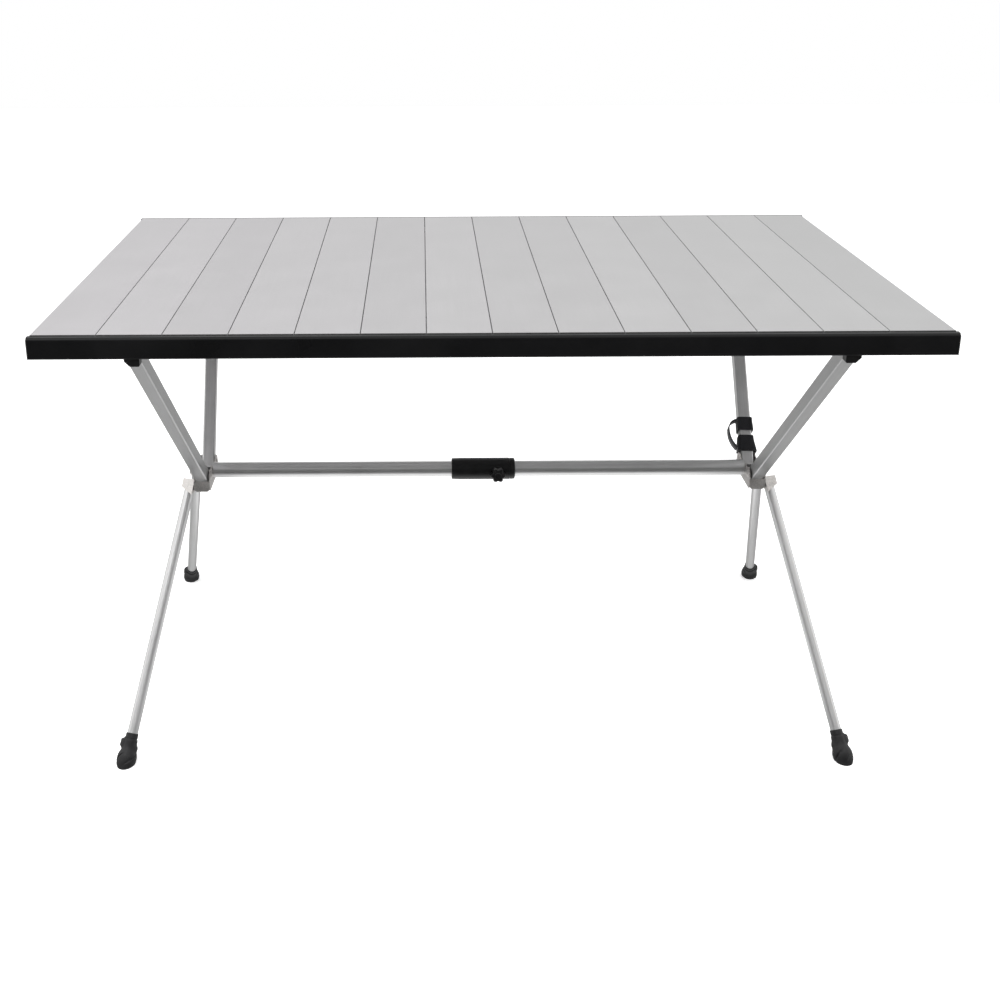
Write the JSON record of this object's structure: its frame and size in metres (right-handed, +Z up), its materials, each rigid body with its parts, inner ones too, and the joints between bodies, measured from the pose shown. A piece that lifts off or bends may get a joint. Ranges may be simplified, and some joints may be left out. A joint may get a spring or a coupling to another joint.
{
  "type": "folding table",
  "caption": "Slatted camping table that rolls up: aluminium slats in two black rails, on a folding frame of splayed arms and legs joined by a locking crossbar.",
  "frame": {"origin": "on the floor under the middle of the top", "axes": "+X along the rails, -Y the front, +Z up"},
  "size_m": [1.2, 0.7, 0.7],
  "materials": {
    "slat_aluminium": "satin anodised, fine lengthwise grain",
    "rail_black": "satin black powder coat",
    "frame_aluminium": "satin drawn tube",
    "hub_steel": "zinc-plated pressed steel",
    "black_plastic": "matt moulded",
    "boot_rubber": "matt moulded rubber",
    "strap_fabric": "woven hook-and-loop strap",
    "shock_cord": "braided elastic cord"
  },
  "bodies": {
    "left_frame": {"hub_left": "hub_steel", "arm_rivets_left": "hub_steel", "leg_rivets_left": "hub_steel", "crossbar_tube_left": "frame_aluminium", "crossbar_plug_left": "black_plastic", "crossbar_bolt_left": "hub_steel", "crossbar_sleeve": "black_plastic"},
    "right_frame": {"hub_right": "hub_steel", "arm_rivets_right": "hub_steel", "leg_rivets_right": "hub_steel", "crossbar_tube_right": "frame_aluminium", "crossbar_plug_right": "black_plastic", "crossbar_bolt_right": "hub_steel", "crossbar_inner_tube": "frame_aluminium"},
    "lock": {"lock_knob": "black_plastic", "lock_stem": "hub_steel"},
    "top_rails": {"rail_front": "rail_black", "rail_front_lip": "rail_black", "rail_front_ledge": "rail_black", "rail_rear": "rail_black", "rail_rear_lip": "rail_black", "rail_rear_ledge": "rail_black"},
    "slat_01": {"slat_01": "slat_aluminium", "shock_cords": "shock_cord"},
    "arm_front_left": {"arm_front_left": "frame_aluminium", "arm_shoe_front_left": "black_plastic"},
    "leg_front_left": {"leg_front_left": "frame_aluminium", "boot_front_left": "boot_rubber"},
    "arm_rear_left": {"arm_rear_left": "frame_aluminium", "arm_shoe_rear_left": "black_plastic"},
    "leg_rear_left": {"leg_rear_left": "frame_aluminium", "boot_rear_left": "boot_rubber"},
    "arm_front_right": {"arm_front_right": "frame_aluminium", "arm_shoe_front_right": "black_plastic"},
    "leg_front_right": {"leg_front_right": "frame_aluminium", "boot_front_right": "boot_rubber"},
    "arm_rear_right": {"arm_rear_right": "frame_aluminium", "arm_shoe_rear_right": "black_plastic", "tie_strap": "strap_fabric"},
    "leg_rear_right": {"leg_rear_right": "frame_aluminium", "boot_rear_right": "boot_rubber"},
    "slat_02": {"slat_02": "slat_aluminium"},
    "slat_03": {"slat_03": "slat_aluminium"},
    "slat_04": {"slat_04": "slat_aluminium"},
    "slat_05": {"slat_05": "slat_aluminium"},
    "slat_06": {"slat_06": "slat_aluminium"},
    "slat_07": {"slat_07": "slat_aluminium"},
    "slat_08": {"slat_08": "slat_aluminium"},
    "slat_09": {"slat_09": "slat_aluminium"},
    "slat_10": {"slat_10": "slat_aluminium"},
    "slat_11": {"slat_11": "slat_aluminium"},
    "slat_12": {"slat_12": "slat_aluminium"},
    "slat_13": {"slat_13": "slat_aluminium"},
    "slat_14": {"slat_14": "slat_aluminium"}
  },
  "joints": [
    {"name": "crossbar_pull", "type": "slide", "parent": "left_frame", "child": "right_frame", "axis": [1, 0, 0], "range_m": [0, 0.055]},
    {"name": "lock_turn", "type": "hinge", "parent": "left_frame", "child": "lock", "pos_m": [0.0305, 0, 0.356], "axis": [0, -1, 0], "range_deg": [0, 180]},
    {"name": "top_lift", "type": "slide", "parent": "left_frame", "child": "top_rails", "axis": [0, 0, 1], "range_m": [0, 0.36]},
    {"name": "slats_lift", "type": "slide", "parent": "top_rails", "child": "slat_01", "axis": [0, 0, 1], "range_m": [0, 0.15]},
    {"name": "arm_fold_front_left", "type": "hinge", "parent": "left_frame", "child": "arm_front_left", "pos_m": [-0.4458, -0.03, 0.358], "axis": [-0.9977, 0.0672, 0], "range_deg": [0, 43.81]},
    {"name": "leg_fold_front_left", "type": "hinge", "parent": "left_frame", "child": "leg_front_left", "pos_m": [-0.467, -0.03, 0.341], "axis": [0.9587, -0.2845, 0], "range_deg": [0, 37.52]},
    {"name": "arm_fold_rear_left", "type": "hinge", "parent": "left_frame", "child": "arm_rear_left", "pos_m": [-0.4458, 0.03, 0.358], "axis": [0.9977, 0.0672, 0], "range_deg": [0, 43.81]},
    {"name": "leg_fold_rear_left", "type": "hinge", "parent": "left_frame", "child": "leg_rear_left", "pos_m": [-0.467, 0.03, 0.341], "axis": [-0.9587, -0.2845, 0], "range_deg": [0, 37.52]},
    {"name": "arm_fold_front_right", "type": "hinge", "parent": "right_frame", "child": "arm_front_right", "pos_m": [0.4458, -0.03, 0.358], "axis": [-0.9977, -0.0672, 0], "range_deg": [0, 43.81]},
    {"name": "leg_fold_front_right", "type": "hinge", "parent": "right_frame", "child": "leg_front_right", "pos_m": [0.467, -0.03, 0.341], "axis": [0.9587, 0.2845, 0], "range_deg": [0, 37.52]},
    {"name": "arm_fold_rear_right", "type": "hinge", "parent": "right_frame", "child": "arm_rear_right", "pos_m": [0.4458, 0.03, 0.358], "axis": [0.9977, -0.0672, 0], "range_deg": [0, 43.81]},
    {"name": "leg_fold_rear_right", "type": "hinge", "parent": "right_frame", "child": "leg_rear_right", "pos_m": [0.467, 0.03, 0.341], "axis": [-0.9587, 0.2845, 0], "range_deg": [0, 37.52]},
    {"name": "roll_02", "type": "hinge", "parent": "slat_01", "child": "slat_02", "pos_m": [-0.5124, 0, 0.7], "axis": [0, -1, 0], "range_deg": [0, 45], "deforming": ["shock_cords"]},
    {"name": "roll_03", "type": "hinge", "parent": "slat_02", "child": "slat_03", "pos_m": [-0.427, 0, 0.7], "axis": [0, -1, 0], "range_deg": [0, 45.05]},
    {"name": "roll_04", "type": "hinge", "parent": "slat_03", "child": "slat_04", "pos_m": [-0.3416, 0, 0.7], "axis": [0, -1, 0], "range_deg": [0, 45.05]},
    {"name": "roll_05", "type": "hinge", "parent": "slat_04", "child": "slat_05", "pos_m": [-0.2562, 0, 0.7], "axis": [0, -1, 0], "range_deg": [0, 45.05]},
    {"name": "roll_06", "type": "hinge", "parent": "slat_05", "child": "slat_06", "pos_m": [-0.1708, 0, 0.7], "axis": [0, -1, 0], "range_deg": [0, 45.05]},
    {"name": "roll_07", "type": "hinge", "parent": "slat_06", "child": "slat_07", "pos_m": [-0.0854, 0, 0.7], "axis": [0, -1, 0], "range_deg": [0, 45.05]},
    {"name": "roll_08", "type": "hinge", "parent": "slat_07", "child": "slat_08", "pos_m": [0, 0, 0.7], "axis": [0, -1, 0], "range_deg": [0, 60.05]},
    {"name": "roll_09", "type": "hinge", "parent": "slat_08", "child": "slat_09", "pos_m": [0.0854, 0, 0.7], "axis": [0, -1, 0], "range_deg": [0, 60.05]},
    {"name": "roll_10", "type": "hinge", "parent": "slat_09", "child": "slat_10", "pos_m": [0.1708, 0, 0.7], "axis": [0, -1, 0], "range_deg": [0, 60.05]},
    {"name": "roll_11", "type": "hinge", "parent": "slat_10", "child": "slat_11", "pos_m": [0.2562, 0, 0.7], "axis": [0, -1, 0], "range_deg": [0, 60.05]},
    {"name": "roll_12", "type": "hinge", "parent": "slat_11", "child": "slat_12", "pos_m": [0.3416, 0, 0.7], "axis": [0, -1, 0], "range_deg": [0, 75.05]},
    {"name": "roll_13", "type": "hinge", "parent": "slat_12", "child": "slat_13", "pos_m": [0.427, 0, 0.7], "axis": [0, -1, 0], "range_deg": [0, 75.05]},
    {"name": "roll_14", "type": "hinge", "parent": "slat_13", "child": "slat_14", "pos_m": [0.5124, 0, 0.7], "axis": [0, -1, 0], "range_deg": [0, 75.05]}
  ],
  "couplings": [
    {"joint": "arm_fold_front_left", "follows": "top_lift", "rad_per_m": 2.1215},
    {"joint": "arm_fold_rear_left", "follows": "top_lift", "rad_per_m": 2.1215},
    {"joint": "arm_fold_front_right", "follows": "top_lift", "rad_per_m": 2.1215},
    {"joint": "arm_fold_rear_right", "follows": "top_lift", "rad_per_m": 2.1215},
    {"joint": "roll_03", "follows": "roll_02", "ratio": 1},
    {"joint": "roll_04", "follows": "roll_02", "ratio": 1},
    {"joint": "roll_05", "follows": "roll_02", "ratio": 1},
    {"joint": "roll_06", "follows": "roll_02", "ratio": 1},
    {"joint": "roll_07", "follows": "roll_02", "ratio": 1},
    {"joint": "roll_08", "follows": "roll_02", "ratio": 1.3333},
    {"joint": "roll_09", "follows": "roll_02", "ratio": 1.3333},
    {"joint": "roll_10", "follows": "roll_02", "ratio": 1.3333},
    {"joint": "roll_11", "follows": "roll_02", "ratio": 1.3333},
    {"joint": "roll_12", "follows": "roll_02", "ratio": 1.6667},
    {"joint": "roll_13", "follows": "roll_02", "ratio": 1.6667},
    {"joint": "roll_14", "follows": "roll_02", "ratio": 1.6667}
  ]
}
